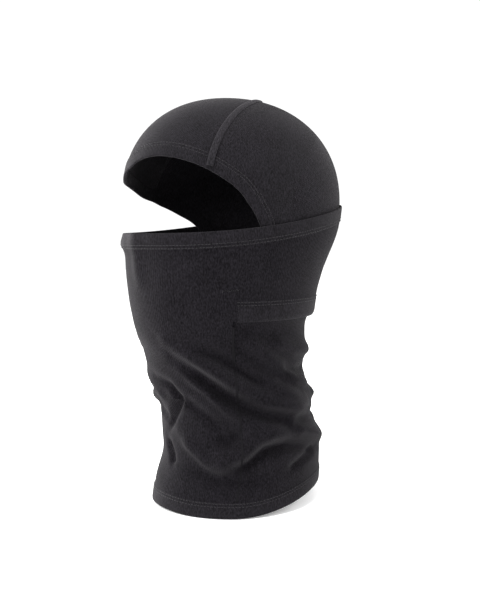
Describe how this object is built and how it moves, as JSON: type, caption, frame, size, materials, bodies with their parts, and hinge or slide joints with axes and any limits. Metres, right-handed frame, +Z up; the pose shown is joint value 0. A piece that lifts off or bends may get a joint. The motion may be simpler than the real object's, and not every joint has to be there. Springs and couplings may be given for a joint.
{
  "type": "balaclava",
  "caption": "Black knitted balaclava for skiing: a close hood with an open face, and a neck tube whose mask slides down from the nose to the chin.",
  "frame": {"origin": "middle of the bounding box in plan, at the level of the bottom hem's lower edge", "axes": "+Z up to the crown, the face opening and the nose towards -Y, the wearer's left ear towards +X"},
  "size_m": [0.1612, 0.2058, 0.363],
  "materials": {
    "hood_jersey": "fine black jersey knit, matt, brushed",
    "neck_jersey": "fine black jersey knit, matt, gathered in soft folds",
    "mask_jersey": "fine black jersey knit, matt",
    "hem_jersey": "doubled black jersey knit, pressed flat",
    "thread": "black polyester sewing thread in cover stitch",
    "label": "plain woven grey tape, nothing printed on it"
  },
  "bodies": {
    "hood": {"hood_front_panel": "hood_jersey", "hood_back_panel": "hood_jersey", "face_hem": "hem_jersey", "face_hem_stitching": "thread", "crown_seam_stitching": "thread", "neck_front_panel": "neck_jersey", "neck_back_panel": "neck_jersey", "side_seam_left": "thread", "side_seam_right": "thread", "bottom_hem": "hem_jersey", "bottom_hem_stitching": "thread", "hood_foot_seam": "thread", "care_label": "label"},
    "mask": {"mask_panel": "mask_jersey", "mask_top_hem": "hem_jersey", "mask_hem_stitching": "thread", "nape_flap_hem": "hem_jersey", "nape_flap_stitching": "thread", "bar_tack_left": "thread", "bar_tack_right": "thread"}
  },
  "joints": [
    {"name": "mask_slide", "type": "slide", "parent": "hood", "child": "mask", "axis": [0, 0, -1], "range_m": [0, 0.06]}
  ]
}
